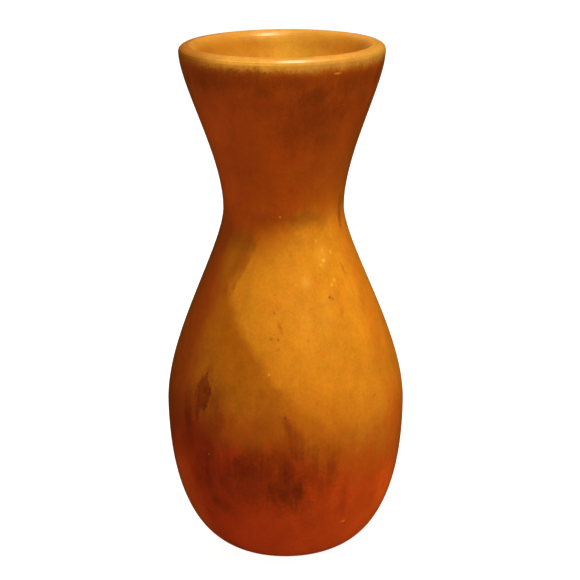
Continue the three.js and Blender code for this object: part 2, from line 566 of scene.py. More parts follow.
def make_lathe():
    """The node group that turns an outline into a piece."""
    tree = bpy.data.node_groups.new("lathe", "GeometryNodeTree")
    for name, kind in (
        ("Geometry", "Geometry"),
        ("Outline", "Object"),
        ("Closed Outline", "Int"),
        ("Facets", "Int"),
        ("Wave Height", "Float"),
        ("Wave Length", "Float"),
        ("Seed", "Float"),
        ("Finish", "Material"),
    ):
        tree.interface.new_socket(name, in_out="INPUT", socket_type=f"NodeSocket{kind}")
    tree.interface.new_socket("Geometry", in_out="OUTPUT", socket_type="NodeSocketGeometry")
    given = tree.nodes.new("NodeGroupInput").outputs

    outline = add_node(tree, "GeometryNodeObjectInfo", {"Object": given["Outline"]}).outputs["Geometry"]
    shaped, row = turn_grid(tree, given, outline)
    waved = lay_waves(tree, given, mark_and_close(tree, shaped, outline, row))

    bend = tree.nodes.new("GeometryNodeInputMeshEdgeAngle").outputs["Unsigned Angle"]
    sharp = add_node(
        tree, "FunctionNodeCompare", {"A": bend, "B": SHARP_ANGLE}, operation="GREATER_THAN"
    )
    smooth = add_node(
        tree,
        "GeometryNodeSetShadeSmooth",
        {"Geometry": waved, "Selection": sharp.outputs[0], "Shade Smooth": False},
        domain="EDGE",
    )
    real = add_node(tree, "GeometryNodeRealizeInstances", {"Geometry": smooth.outputs[0]})
    finished = add_node(
        tree,
        "GeometryNodeSetMaterial",
        {"Geometry": real.outputs[0], "Material": given["Finish"]},
    )
    add_node(tree, "NodeGroupOutput", {"Geometry": finished.outputs[0]})
    return tree


lathe = make_lathe()
lathe_sockets = {s.name: s.identifier for s in lathe.interface.items_tree if s.in_out == "INPUT"}
print("lathe inputs:", list(lathe_sockets)[1:])

# %% [markdown]
# ## Turning a piece
#
# A turning session sets the inputs, reads the result into a plain mesh, and puts the lathe away
# again. The volume is measured with the sign that the faces give it, because a shell that is
# inside out would measure below zero.

# %% Turn a piece
WAVE_LENGTH = 45 * MM
WAVE_SEED = 7.0


def signed_volume(mesh):
    """The volume inside a closed mesh, below zero if its faces point inwards."""
    mesh.calc_loop_triangles()
    corners = [[mesh.vertices[v].co for v in t.vertices] for t in mesh.loop_triangles]
    return sum(a.dot(b.cross(c)) for a, b, c in corners) / 6


def turn_piece(name, outline, finish, closed=True, facets=180, wave_height=0.0):
    """A piece turned from an outline, as a plain mesh at the origin."""
    piece = bpy.data.objects.new(name, bpy.data.meshes.new(name))
    bpy.context.scene.collection.objects.link(piece)
    setting = piece.modifiers.new("lathe", "NODES")
    setting.node_group = lathe
    wanted = {
        "Outline": outline,
        "Closed Outline": int(closed),
        "Facets": facets,
        "Wave Height": wave_height,
        "Wave Length": WAVE_LENGTH,
        "Seed": WAVE_SEED,
        "Finish": finish,
    }
    for label, value in wanted.items():
        setting[lathe_sockets[label]] = value
    graph = bpy.context.evaluated_depsgraph_get()
    mesh = bpy.data.meshes.new_from_object(piece.evaluated_get(graph), depsgraph=graph)
    piece.modifiers.remove(setting)
    piece.data = mesh
    mesh.name = name
    bpy.data.objects.remove(outline)
    volume = signed_volume(mesh)
    triangles = len(mesh.loop_triangles)
    print(f"{name}: {triangles} triangles, {volume * 1e6:.1f} cm3")
    return piece


# %% [markdown]
# ## The wood finish: where a point lies
#
# The finish is uneven, in a way that follows the form: russet on the neck, amber on the belly, a deep
# red near the foot, with clouds, streaks and a knot. Part of it is stain, and part is painted shade and
# painted light that follow how the light falls: darker on the neck under the lip and at the far left,
# lighter at the right. A picture could be wrapped round it, but then it would blur near by and stretch
# at the foot. This finish is mixed from named colours instead, each laid on by a mask.
#
# A mask needs to know where it is. The height comes from Object coordinates, and so do the
# bearing (degrees from the front to the right) and `side`, which is its sine and has no seam at
# the back.

# %% Where a point lies on the wood
wood = bpy.data.materials.new("stained_wood")
wood.use_nodes = True
grown = wood.node_tree
wood_shader = grown.nodes["Principled BSDF"]

place = add_node(grown, "ShaderNodeTexCoord").outputs["Object"]
apart = add_node(grown, "ShaderNodeSeparateXYZ", {"Vector": place}).outputs
ahead = calc(grown, "MULTIPLY", apart["Y"], -1)
height = calc(grown, "DIVIDE", apart["Z"], MM)
bearing = calc(grown, "DEGREES", calc(grown, "ARCTAN2", apart["X"], ahead))
squares = calc(grown, "ADD", calc(grown, "POWER", apart["X"], 2), calc(grown, "POWER", apart["Y"], 2))
radius = calc(grown, "DIVIDE", calc(grown, "SQRT", squares), MM)
side = calc(grown, "SINE", calc(grown, "RADIANS", bearing))


def all_of(tree, *shares):
    """The share where every mask holds: all of them multiplied."""
    product = shares[-1]
    for share in reversed(shares[:-1]):
        product = calc(tree, "MULTIPLY", share, product)
    return product


def cloud(tree, vector, size, seed, long=1.0, detail=2.0):
    """Noise around 0, with blots of a size in mm that are longer along the axis if asked."""
    drawn_out = add_node(tree, "ShaderNodeMapping", {"Vector": vector, "Scale": (1, 1, 1 / long)})
    noise = add_node(
        tree,
        "ShaderNodeTexNoise",
        {"Vector": drawn_out.outputs[0], "W": seed, "Scale": 1 / (size * MM), "Detail": detail},
        noise_dimensions="4D",
    )
    return calc(tree, "SUBTRACT", noise.outputs[0], 0.5)


print("wood finish:", len(grown.nodes), "nodes to say where a point lies")

# %% [markdown]
# ## The wood finish: stains and painted shade by height
#
# A maker works with a few stains, thinned or laid on twice, not with a thousand colours. Each one has a
# name here, and is written as linear light, so it looks darker than on the vase. Blue is almost nil in
# all of them: that is what makes them glow like oiled wood.
#
# The russet of the neck is stain, and painted shade too: it is darker and redder where the lip shades
# the neck. Near the foot the belly turns red: deep red at the left, which is painted shade, and a
# brighter red at the right, which is painted light. Height alone would give level bands, as if the vase
# had been dipped. So the height is swayed by wide noise, and near the foot it is also broken by runs. On
# the left, away from the lamp, the russet of the neck comes further down and the red of the foot further
# up. On the right, where the lamp falls, the amber between them reaches further both ways. This is
# painted shade and painted light again.

# %% Stains and painted shade by height
AMBER = (0.61, 0.226, 0.008, 1)
RUSSET = (0.415, 0.071, 0.0008, 1)
DEEP_RED = (0.39, 0.017, 0.0004, 1)
EMBER = (0.66, 0.085, 0.0008, 1)

# Heights in mm between which one colour gives way to the next
NECK_TO_BELLY = (214.5, 185.5)
FOOT_TO_BELLY = (68, 138)
BELLY_TO_RED = (108, 60)

sway = calc(grown, "MULTIPLY", cloud(grown, place, size=34, seed=1.0), 34)
runs = calc(grown, "MULTIPLY", cloud(grown, place, size=8, seed=8.0, long=2.2, detail=4.0), 26)
swayed = calc(grown, "ADD", height, sway)
run_down = calc(grown, "ADD", swayed, runs)
right_only = calc(grown, "MAXIMUM", side, 0)
left_only = ease_between(grown, side, -0.35, -0.85)

# Painted shade and painted light: the bands tilt with the side. The amber reaches further on the right,
# where the lamp falls, and the russet and the red reach further on the left.
tilted = calc(grown, "MULTIPLY_ADD", right_only, 6, calc(grown, "MULTIPLY_ADD", side, -20, swayed))
upper = ease_between(grown, tilted, *NECK_TO_BELLY)
dropped = calc(grown, "MULTIPLY_ADD", right_only, 32, run_down)
dropped = calc(grown, "MULTIPLY_ADD", left_only, -16, dropped)
lower = ease_between(grown, dropped, *FOOT_TO_BELLY)
belly_part = all_of(grown, upper, lower)
# The russet of the neck is stain and painted shade, where the lip shades the neck.
stain_and_painted_light = blend(grown, belly_part, RUSSET, AMBER)
rightness = calc(grown, "MULTIPLY_ADD", side, 0.5, 0.5)
# Near the foot: the deep red at the left is painted shade, and the brighter red at the right is painted
# light.
near_foot = blend(grown, rightness, DEEP_RED, EMBER)
stain_and_painted_light = blend(grown, ease_between(grown, dropped, *BELLY_TO_RED), stain_and_painted_light, near_foot)
print("stains laid on by height:", len(grown.nodes), "nodes")

# %% [markdown]
# ## The wood finish: stains, painted light and painted shade by bearing
#
# The left of the belly is darker, in olive. This is a painted shadow, the one that the lip and the flare
# cast on the belly. Its edge runs in a bow: it lies furthest to the left at the height of the shoulder,
# and comes back to the front above and below it. A rounded V in height draws it: the two slopes are
# straight, and the square root of a sum of squares rounds the tip. A hard edge there would look masked
# with tape, so noise makes it waver.
#
# Beyond that edge the far left turns red brown, which is painted shade where the belly turns away from
# the lamp. It is brighter again at the foot, which is painted light, warm light reflected from below.
# The far right turns orange, and low down it is painted a brighter red, the same reflected light. The
# neck is brighter at its left, painted light that lifts the shade there, and a little greener at its
# right. The two numbers of a mask say where it starts and where it is full, in degrees for a bearing and
# in mm for a height. Each mask fades out before the back, so none ends in a step there.

# %% Painted shadow on the left of the belly
OLIVE = (0.42, 0.118, 0.0013, 1)

BOW_HEIGHT = 168
BOW_BEARING = -44
BOW_SLOPE = 0.82
BOW_ROUNDING = 3

off_bow = calc(grown, "MULTIPLY", calc(grown, "SUBTRACT", height, BOW_HEIGHT), BOW_SLOPE)
bow_reach = calc(grown, "SQRT", calc(grown, "MULTIPLY_ADD", off_bow, off_bow, BOW_ROUNDING**2))
edge = calc(grown, "ADD", bow_reach, BOW_BEARING)
wavering = calc(grown, "MULTIPLY_ADD", cloud(grown, place, size=22, seed=2.0), 16, bearing)
left_of_edge = ease_between(grown, calc(grown, "SUBTRACT", wavering, edge), 4, -6)
left_fades = ease_between(grown, bearing, -160, -110)
lip_shadow_share = all_of(grown, left_of_edge, left_fades)
# Painted shadow of the lip and the flare on the left of the belly, in olive.
stain_and_painted_light = blend(grown, all_of(grown, lip_shadow_share, belly_part), stain_and_painted_light, OLIVE)
print("bow furthest left at", BOW_HEIGHT, "mm, bearing", BOW_BEARING + BOW_ROUNDING)

# %% Far left and far right
ORANGE = (0.57, 0.177, 0.006, 1)
RED_BROWN = (0.38, 0.05, 0.0009, 1)
BRIGHT_RUSSET = (0.62, 0.1, 0.0009, 1)
FLAME = (0.95, 0.14, 0.001, 1)


def lay(tree, under, layer_colour, strength, *shares):
    """A colour laid over the others where every mask holds, at a strength: stains, painted light and
    painted shade.
    """
    return blend(tree, calc(tree, "MULTIPLY", all_of(tree, *shares), strength), under, layer_colour)


far_left = all_of(grown, ease_between(grown, wavering, -45, -64), left_fades)
above_foot = ease_between(grown, swayed, 60, 100)
below_waist = ease_between(grown, swayed, 215, 175)
# Painted shade: red brown at the far left, where the belly turns away from the lamp.
stain_and_painted_light = lay(grown, stain_and_painted_light, RED_BROWN, 0.8, far_left, above_foot, below_waist)

neck_left = ease_between(grown, wavering, -22, -62)
above_waist = ease_between(grown, swayed, 186, 214)
below_lip = ease_between(grown, height, 278, 254)
# Painted light: the left of the neck is brighter, which lifts its shade.
stain_and_painted_light = lay(grown, stain_and_painted_light, BRIGHT_RUSSET, 0.65, neck_left, left_fades, above_waist, below_lip)
under_flare = ease_between(grown, swayed, 272, 222)
off_belly = calc(grown, "SUBTRACT", 1.0, upper)
stain_and_painted_light = lay(grown, stain_and_painted_light, OLIVE, 0.6, right_only, under_flare, off_belly)

right_fades = ease_between(grown, bearing, 160, 110)
far_right = all_of(grown, ease_between(grown, wavering, 46, 66), right_fades)
stain_and_painted_light = blend(grown, all_of(grown, far_right, belly_part), stain_and_painted_light, ORANGE)
# Painted light: low down at the far right the red is brighter, as warm light reflected from below.
stain_and_painted_light = lay(grown, stain_and_painted_light, EMBER, 0.5, far_right, ease_between(grown, run_down, 120, 82))
low_right = all_of(grown, ease_between(grown, wavering, 46, 62), right_fades)
low_right = all_of(grown, low_right, ease_between(grown, run_down, 74, 32))
stain_and_painted_light = blend(grown, low_right, stain_and_painted_light, FLAME)
# Painted light: the far left is brighter red again at the foot, as warm light reflected from below.
stain_and_painted_light = lay(grown, stain_and_painted_light, EMBER, 0.75, far_left, ease_between(grown, run_down, 80, 44))
print("stains laid on by bearing:", len(grown.nodes), "nodes")

# %% [markdown]
# ## The wood finish: clouds and grain
#
# Stain sinks in unevenly. Wide clouds shift its strength, finer ones and a fine mottle break it
# up, and grain makes streaks that run along the axis, because the wood was mounted with its
# fibres along the lathe. The streaks are noise that is stretched along the height. Pores are
# the middles of random cells, and each cell's own colour says how large its pore is, so many
# have none.
#
# One strength for all three colours would only lighten and darken. Green gets a tint of its own
# on top, so the stain also turns a little yellower or redder from place to place.

# %% Clouds and grain
wide_cloud = cloud(grown, place, size=28, seed=3.0, long=1.3)
fine_cloud = cloud(grown, place, size=7, seed=4.0, long=1.5, detail=3.0)
mottle = cloud(grown, place, size=1.3, seed=9.0, detail=4.0)
grain = cloud(grown, place, size=2.2, seed=5.0, long=14, detail=3.0)
fibre = cloud(grown, place, size=0.7, seed=6.0, long=22)

strength = 1.0
for noise, amount in (
    (wide_cloud, 0.42),
    (fine_cloud, 0.34),
    (mottle, 0.4),
    (grain, 0.09),
    (fibre, 0.07),
):
    strength = calc(grown, "MULTIPLY_ADD", noise, amount, strength)

CELL_SIZE = 6 * MM
LARGEST_PORE = 0.11
cells = add_node(grown, "ShaderNodeTexVoronoi", {"Vector": place, "Scale": 1 / CELL_SIZE}).outputs
cell_value = add_node(grown, "ShaderNodeSeparateColor", {"Color": cells["Color"]}).outputs[0]
pore_size = calc(grown, "MULTIPLY", cell_value, LARGEST_PORE)
pores = ease_between(grown, calc(grown, "SUBTRACT", cells["Distance"], pore_size), 0.0, -0.03)
strength = calc(grown, "MULTIPLY_ADD", pores, -0.3, strength)

tint = calc(grown, "MULTIPLY_ADD", cloud(grown, place, size=4, seed=10.0, detail=4.0), 0.5, 1.0)
yellower = calc(grown, "MULTIPLY", strength, tint)
shade = add_node(
    grown, "ShaderNodeCombineColor", {"Red": strength, "Green": yellower, "Blue": strength}
).outputs[0]
stain_and_painted_light = blend(grown, 1.0, stain_and_painted_light, shade, way="MULTIPLY")
print("clouds and grain laid over the stain:", len(grown.nodes), "nodes")

# %% [markdown]
# ## The wood finish: marks
#
# The vase has a knot, dark blots and streaks above the foot, and small specks and flecks. These
# have places of their own, so each is one row of a list: bearing in degrees, height in mm, half
# its width and half its height in mm, how far it leans, how soft its edge is, and its strength.
# Decals or a painted mask could hold them too, but a row can be moved by changing a number. A
# node group draws one mark, with an edge that noise makes ragged.

# %% Draw one mark
MARK_PLACE = ("Bearing", "Height", "Radius", "Ragged")
MARK_VALUES = (
    "At Bearing",
    "At Height",
    "Half Width",
    "Half Height",
    "Lean",
    "Softness",
    "Strength",
)


def make_mark():
    """The node group that gives a mark's share at a point."""
    tree = bpy.data.node_groups.new("mark", "ShaderNodeTree")
    for name in MARK_PLACE + MARK_VALUES:
        tree.interface.new_socket(name, in_out="INPUT", socket_type="NodeSocketFloat")
    tree.interface.new_socket("Share", in_out="OUTPUT", socket_type="NodeSocketFloat")
    given = tree.nodes.new("NodeGroupInput").outputs
    turn = calc(tree, "RADIANS", calc(tree, "SUBTRACT", given["Bearing"], given["At Bearing"]))
    up = calc(tree, "SUBTRACT", given["Height"], given["At Height"])
    across = calc(tree, "MULTIPLY", turn, given["Radius"])
    leaned = calc(tree, "SUBTRACT", across, calc(tree, "MULTIPLY", up, given["Lean"]))
    wide = calc(tree, "POWER", calc(tree, "DIVIDE", leaned, given["Half Width"]), 2)
    tall = calc(tree, "POWER", calc(tree, "DIVIDE", up, given["Half Height"]), 2)
    away = calc(tree, "ADD", calc(tree, "SQRT", calc(tree, "ADD", wide, tall)), given["Ragged"])
    inner = calc(tree, "SUBTRACT", 1.0, given["Softness"])
    outer = calc(tree, "ADD", 1.0, given["Softness"])
    share = calc(tree, "MULTIPLY", ease_between(tree, away, outer, inner), given["Strength"])
    add_node(tree, "NodeGroupOutput", {"Share": share})
    return tree


mark = make_mark()
print("a mark takes", len(mark.nodes), "nodes")


# %% Lay a list of marks
def lay_marks(tree, rows, ragged):
    """The strongest share of all the marks in a list, at each point."""
    strongest = None
    for row in rows:
        node = tree.nodes.new("ShaderNodeGroup")
        node.node_tree = mark
        for name, socket in zip(MARK_PLACE, (bearing, height, radius, ragged)):
            tree.links.new(socket, node.inputs[name])
        for name, value in zip(MARK_VALUES, row):
            node.inputs[name].default_value = value
        share = node.outputs["Share"]
        strongest = share if strongest is None else calc(tree, "MAXIMUM", strongest, share)
    return strongest


ragged = calc(grown, "MULTIPLY_ADD", fine_cloud, 1.2, calc(grown, "MULTIPLY", grain, 1.2))
ragged = calc(grown, "MULTIPLY_ADD", mottle, 0.8, ragged)
smoky = calc(grown, "MULTIPLY_ADD", wide_cloud, 0.9, calc(grown, "MULTIPLY", ragged, 0.9))
slight = calc(grown, "MULTIPLY", fine_cloud, 0.8)
print("noise for ragged, smoky and slightly uneven edges:", len(grown.nodes), "nodes")

# %% [markdown]
# Three lists are of soft patches of painted light and shade. Orange painted light at the shoulder pulls
# the edge of the painted shadow back. Olive painted shade above the foot at the left is where the
# painted shadow reaches down. Bright painted light at the foot's right is warm light reflected from
# below. They come first, so the dark marks lie over them.

# %% Patches of painted light and shade
# Painted light at the shoulder, painted shade above the foot at the left, and painted reflected light at
# the foot's right.
SHOULDER_LIGHT = [
    (-46, 178, 9, 9, 0.3, 0.9, 0.15),
    (-13, 192, 7, 5, 0, 0.9, 0.4),
]
LOW_LEFT_SHADE = [(-20, 88, 17, 7, 0, 0.8, 0.45)]
FOOT_LIGHT = [(47, 22, 11, 11, 0, 0.9, 0.6)]

for patches, patch_colour in ((SHOULDER_LIGHT, ORANGE), (LOW_LEFT_SHADE, OLIVE), (FOOT_LIGHT, FLAME)):
    stain_and_painted_light = blend(grown, lay_marks(grown, patches, smoky), stain_and_painted_light, patch_colour)
    print(len(patches), "patches of", patch_colour[:3])

# %% [markdown]
# Smoke is wide and faint, as where old wax has taken up dirt: it lies above the foot and round the knot.
# On the neck under the lip and at the waist the patches are painted shade as well, where the lip shades
# the neck down to the waist. It darkens red and green alike, and blue a little less.

# %% Smoke and painted shade
SMOKE_AND_SHADE_TINT = (0.42, 0.42, 0.5, 1)
# Rows from 250 mm up are painted shade under the lip, and rows from 193 to 206 mm are painted shade at
# the waist.
SMOKE_AND_SHADE = [
    (-16, 67, 16, 8.5, 0.05, 0.8, 0.8),
    (0, 57, 12, 12.5, 0, 0.8, 0.85),
    (-14, 58, 14, 12, 0, 0.9, 0.6),
    (0, 74, 12, 9, -0.2, 0.9, 0.6),
    (15, 66, 9, 13, 0, 0.9, 0.42),
    (-28, 54, 16, 10, 0, 0.9, 0.4),
    (-11, 284, 6, 7, 0, 0.9, 0.5),
    (34, 283, 10, 6, 0, 0.9, 0.4),
    (52, 278, 7, 10, 0, 0.9, 0.35),
    (29, 253, 7, 6, 0, 0.9, 0.4),
    (30, 156, 15, 13, 0, 0.9, 0.2),
    (-6, 103, 10, 12, 0, 0.9, 0.3),
    (-40.5, 98, 5.5, 8, 0, 0.9, 0.5),
    (-36, 66, 13, 15, 0, 0.9, 0.5),
    (-40, 88, 9, 16, 0, 0.9, 0.45),
    (-34, 106, 9, 14, 0, 0.9, 0.5),
    (-50, 94, 7, 15, 0, 0.9, 0.35),
    (-34, 46, 9, 8, 0, 0.9, 0.4),
    (0, 44, 8, 5, 0, 0.9, 0.3),
    (20, 266, 15, 14, 0.4, 0.9, 0.5),
    (20, 279, 10, 8, 0.6, 0.9, 0.7),
    (8, 287, 24, 4, 0, 0.9, 0.5),
    (44, 286, 22, 7, 0, 0.9, 0.6),
    (-38, 287, 28, 6, 0, 0.9, 0.5),
    (-8, 204, 9, 5, -0.3, 0.9, 0.25),
    (22, 205, 12, 5, 0, 0.9, 0.45),
    (-44, 193, 10, 6, 0, 0.9, 0.45),
    (-20, 206, 8, 5, 0, 0.9, 0.3),
    (-13, 80, 9, 5, 0, 0.9, 0.45),
    (-30, 81, 6, 5, 0, 0.9, 0.35),
    (20, 193, 9, 5, 0, 0.9, 0.22),
    (-10, 275, 15, 7, 0, 0.9, 0.2),
    (32, 268, 8, 10, 0, 0.9, 0.3),
    (-34, 124, 14, 17, 0, 0.9, 0.17),
]
smoke_and_shade = lay_marks(grown, SMOKE_AND_SHADE, smoky)
stain_and_painted_light = blend(grown, smoke_and_shade, stain_and_painted_light, blend(grown, 1.0, stain_and_painted_light, SMOKE_AND_SHADE_TINT, way="MULTIPLY"))
print(len(SMOKE_AND_SHADE), "patches of smoke")

# %% [markdown]
# Blots are darker and smaller, with ragged edges: the knot at the left, the hook and the drips at the
# front, and streaks above the foot and at the right of the waist. The last three blots are painted
# shade: a dark line along the edge of the painted shadow at the shoulder. Specks are the size of a
# pinhead. Both turn the stain a redder brown, so they darken green most.

# %% Blots, specks and a painted shadow edge
DARKENED = (0.52, 0.27, 0.4, 1)
BLOTS_AND_SHADOW_EDGE = [
    (-43.6, 109.5, 5.2, 9.4, 0, 0.25, 0.85),
    (-42.6, 111, 2.6, 5.4, 0, 0.8, 1),
    (-42.8, 117, 4.4, 6, 0.1, 0.8, 0.3),
    (-46.2, 98.5, 1.6, 8, 0.05, 0.7, 0.75),
    (-35, 99, 4, 9, 0, 0.9, 0.35),
    (-52.4, 92, 4, 9.5, 0, 0.6, 0.5),
    (-51, 80, 3, 8, 0, 0.9, 0.35),
    (-54, 105, 3, 8, 0, 0.9, 0.3),
    (0, 100.5, 1.3, 1.5, 0, 0.6, 0.8),
    (0.8, 96, 2.8, 5.6, -0.3, 0.8, 0.6),
    (4.6, 88, 4.6, 9, -0.35, 0.9, 0.6),
    (6.5, 81, 5, 6, -0.2, 0.9, 0.45),
    (1.6, 67, 4.2, 6.5, 0, 0.8, 0.6),
    (9, 68, 4, 6, 0, 0.9, 0.4),
    (4.5, 56, 3.4, 6, 0, 0.9, 0.6),
    (-3.5, 54, 6, 5, 0, 0.9, 0.45),
    (-15, 77, 7, 3.5, 0.1, 0.9, 0.45),
    (-22, 70, 8, 4.5, 0.1, 0.9, 0.35),
    (-28, 66, 5, 4, 0, 0.9, 0.25),
    (-40, 73, 3, 6, 0.1, 0.9, 0.5),
    (-41, 60, 3.4, 7, 0, 0.9, 0.4),
    (-31, 56, 3.6, 4.6, 0, 0.9, 0.3),
    (-38, 43, 2.6, 2.6, 0, 0.9, 0.4),
    (13, 74, 2.6, 7, 0, 0.9, 0.3),
    (30, 46, 3.6, 9, 0, 0.9, 0.35),
    (22, 68, 2.6, 8, 0, 0.9, 0.35),
    (65, 205, 2.2, 9, 0, 0.8, 0.7),
    # Painted shade: a dark line along the edge of the painted shadow at the shoulder.
    (-36.6, 180, 4.4, 16, 0.38, 0.4, 0.3),
    (-33.2, 179, 1.8, 13.5, 0.38, 0.6, 0.5),
    (-37.8, 167.5, 1.1, 2.2, 0, 0.7, 0.5),
]
SPECKS = [
    (31.9, 162.4, 0.95, 0.75, 0, 0.8, 0.95),
    (33.9, 161.4, 0.5, 0.5, 0, 0.8, 0.9),
    (50.4, 175.6, 0.7, 3.4, -0.25, 0.9, 0.5),
    (38.6, 154, 1.36, 2.21, 0.4, 0.9, 0.26),
    (-6.3, 166, 0.51, 0.51, 0, 0.9, 0.38),
    (-6.5, 156.6, 0.68, 0.59, 0, 0.9, 0.45),
    (-2.7, 149, 0.85, 3.23, -0.4, 0.9, 0.45),
    (-7.7, 143, 0.85, 0.68, 0, 0.9, 0.6),
    (-3.7, 142.7, 0.68, 0.68, 0, 0.9, 0.68),
    (13.2, 141.6, 0.85, 0.77, 0, 0.9, 0.45),
    (-3.7, 137.4, 1.02, 0.77, 0, 0.9, 0.38),
    (-8.5, 184, 0.59, 0.51, 0, 0.9, 0.3),
    (-45.8, 33.4, 1.19, 0.85, 0, 0.9, 0.52),
    (4, 14, 0.68, 0.68, 0, 0.9, 0.52),
    (48, 105, 1.36, 0.85, 0.5, 0.9, 0.38),
    (-1.1, 101, 1.02, 1.36, 0.3, 0.9, 0.45),
]
dark = calc(grown, "MAXIMUM", lay_marks(grown, BLOTS_AND_SHADOW_EDGE, ragged), lay_marks(grown, SPECKS, slight))
stain_and_painted_light = blend(grown, dark, stain_and_painted_light, blend(grown, 1.0, stain_and_painted_light, DARKENED, way="MULTIPLY"))
print(len(BLOTS_AND_SHADOW_EDGE), "blots and", len(SPECKS), "specks")

# %% [markdown]
# ## The wood finish: the lip
#
# Hands and cloths have rubbed the lip, so its stain is thin. Light and shade are painted on it too. It
# is amber on the crest, and below it golden at the left, which is painted light where the roll turns
# down and away from the lamp, and honey at the right. It is brown at the far left, which is painted
# shade. It is brown along the lower edge as well, where the rubbing ends and the roll turns under into
# painted shade.
# That edge isn't a line that a brush drew. It is a height that noise moves up and down, and
# fine pepper is strewn over it.

# %% Lip
LIP_GOLD = (0.84, 0.43, 0.05, 1)
LIP_HONEY = (0.52, 0.25, 0.035, 1)
LIP_AMBER = (0.53, 0.235, 0.028, 1)
LIP_BROWN = (0.42, 0.13, 0.005, 1)
LIP_PEPPER = (0.3, 0.08, 0.003, 1)

lip_line = calc(grown, "MULTIPLY_ADD", fine_cloud, 4.0, calc(grown, "MULTIPLY_ADD", mottle, 2.0, height))
lip_line = calc(grown, "MULTIPLY_ADD", side, 0.8, calc(grown, "SUBTRACT", lip_line, 0.3))
lip_line = calc(grown, "MULTIPLY_ADD", calc(grown, "MULTIPLY", side, side), -0.9, lip_line)

# Painted light: golden at the left below the crest, where the roll turns away from the lamp.
lip_stain_and_light = blend(grown, ease_between(grown, side, -0.5, 0.6), LIP_GOLD, LIP_HONEY)
lip_stain_and_light = blend(grown, ease_between(grown, height, 296.5, 299.8), lip_stain_and_light, LIP_AMBER)
# Painted shade: brown at the far left of the lip.
lip_stain_and_light = blend(grown, ease_between(grown, side, -1.0, -0.45), LIP_BROWN, lip_stain_and_light)
# Brown along the lower edge, where the rubbing ends, and painted shade under the roll.
lip_stain_and_light = blend(grown, ease_between(grown, lip_line, 291.2, 295.6), LIP_BROWN, lip_stain_and_light)
lip_stain_and_light = blend(grown, 1.0, lip_stain_and_light, shade, way="MULTIPLY")
stain_and_painted_light = blend(grown, ease_between(grown, lip_line, 289.3, 293.5), stain_and_painted_light, lip_stain_and_light)

pepper = ease_between(grown, cloud(grown, place, size=1.3, seed=11.0), 0.03, 0.12)
over_edge = ease_between(grown, lip_line, 288, 290.5)
under_crest = ease_between(grown, lip_line, 296, 292)
near_edge = all_of(grown, over_edge, under_crest)
stain_and_painted_light = lay(grown, stain_and_painted_light, LIP_PEPPER, 0.7, pepper, near_edge)
print("lip finished:", len(grown.nodes), "nodes")

# %% [markdown]
# Flecks are worn points that show the pale wood: single ones on the front, and a cluster at the right of
# the shoulder. That cluster is flecks and a painted highlight both: the wide soft rows at the end of the
# list paint the light that falls there.

# %% Flecks and a painted highlight
PALE = (0.85, 0.46, 0.05, 1)
FLECKS_AND_HIGHLIGHT = [
    (-3.2, 207.8, 0.5, 0.5, 0, 0.6, 0.8),
    (-8.1, 124.2, 0.6, 0.5, 0, 0.6, 0.9),
    (-38.9, 73.3, 0.5, 0.6, 0, 0.6, 0.35),
    (31.9, 29.6, 1.2, 0.6, 0.6, 0.5, 1),
    (31, 290.8, 2, 0.5, 0, 0.6, 0.55),
    (33, 182.2, 1.3, 1.1, 0, 0.7, 1),
    (33.4, 187.7, 0.9, 1.2, 0, 0.7, 0.7),
    (41.6, 185.8, 0.8, 1, 0, 0.7, 0.6),
    (30, 180, 1, 0.8, 0, 0.7, 0.6),
    (29.2, 193, 0.8, 1, 0, 0.7, 0.45),
    (38.6, 171, 1, 1, 0, 0.7, 0.6),
    (35.4, 168.8, 0.9, 0.9, 0, 0.7, 0.6),
    # Painted highlight: wide soft patches at the right of the shoulder, where the light falls.
    (32, 185, 4.2, 6, 0, 0.9, 0.3),
    (16, 172, 2.6, 3, 0, 0.9, 0.4),
    (13, 152, 3, 8, 0, 0.9, 0.15),
    (26, 152, 5, 10, 0.2, 0.9, 0.15),
]
stain_and_painted_light = lay(grown, stain_and_painted_light, PALE, 0.8, lay_marks(grown, FLECKS_AND_HIGHLIGHT, slight))
print(len(FLECKS_AND_HIGHLIGHT), "pale flecks")

# %% [markdown]
# ## The wood finish: inside
#
# Inside the flare the stain was only wiped on, as a wash, amber where it meets the lip. Light and shade
# are painted into it too. It is darker at the left and lighter at the right: painted shade and painted
# light that even out how the lamp falls inside. It is pale on the upper part of the wall at the back,
# which is painted light. The throat, the spigot and the hollow of the belly were left bare. The
# `stained` value that the outline carries says which is where: 1 outside, WIPED inside the flare, and 0
# on bare wood. One material for all three fades from one to the next, where separate materials on one
# piece would meet in a hard line.

# %% Wash with painted light and shade, and bare wood
WIPED = 0.6
WASH = (0.56, 0.225, 0.016, 1)
WASH_DARKENED_LEFT = (0.43, 0.15, 0.01, 1)
WASH_LIGHTENED_RIGHT = (0.82, 0.33, 0.02, 1)
PALE_WASH = (0.73, 0.36, 0.03, 1)
BARE = (0.5, 0.34, 0.17, 1)

# Painted shade at the left and painted light at the right, evening out how the lamp falls inside the
# flare.
wash_and_light = blend(grown, ease_between(grown, side, -0.5, -1.0), WASH, WASH_DARKENED_LEFT)
wash_and_light = blend(grown, ease_between(grown, side, -0.1, 0.9), wash_and_light, WASH_LIGHTENED_RIGHT)
wavy_side = calc(grown, "MULTIPLY_ADD", fine_cloud, 0.5, side)
# Painted light: a pale patch high on the back of the inner wall.
lit_back_wall = all_of(
    grown,
    ease_between(grown, ahead, 0.0, -10 * MM),
    ease_between(grown, wavy_side, -0.42, -0.02),
    ease_between(grown, wavy_side, 0.85, 0.1),
    ease_between(grown, swayed, 238, 264),
)
wash_and_light = blend(grown, lit_back_wall, wash_and_light, PALE_WASH)
wash_and_light = lay(grown, wash_and_light, LIP_AMBER, 0.7, ease_between(grown, height, 292, 299))
wiped_shade = blend(grown, 0.8, WHITE, shade)
wiped_wood = blend(grown, 1.0, wash_and_light, wiped_shade, way="MULTIPLY")

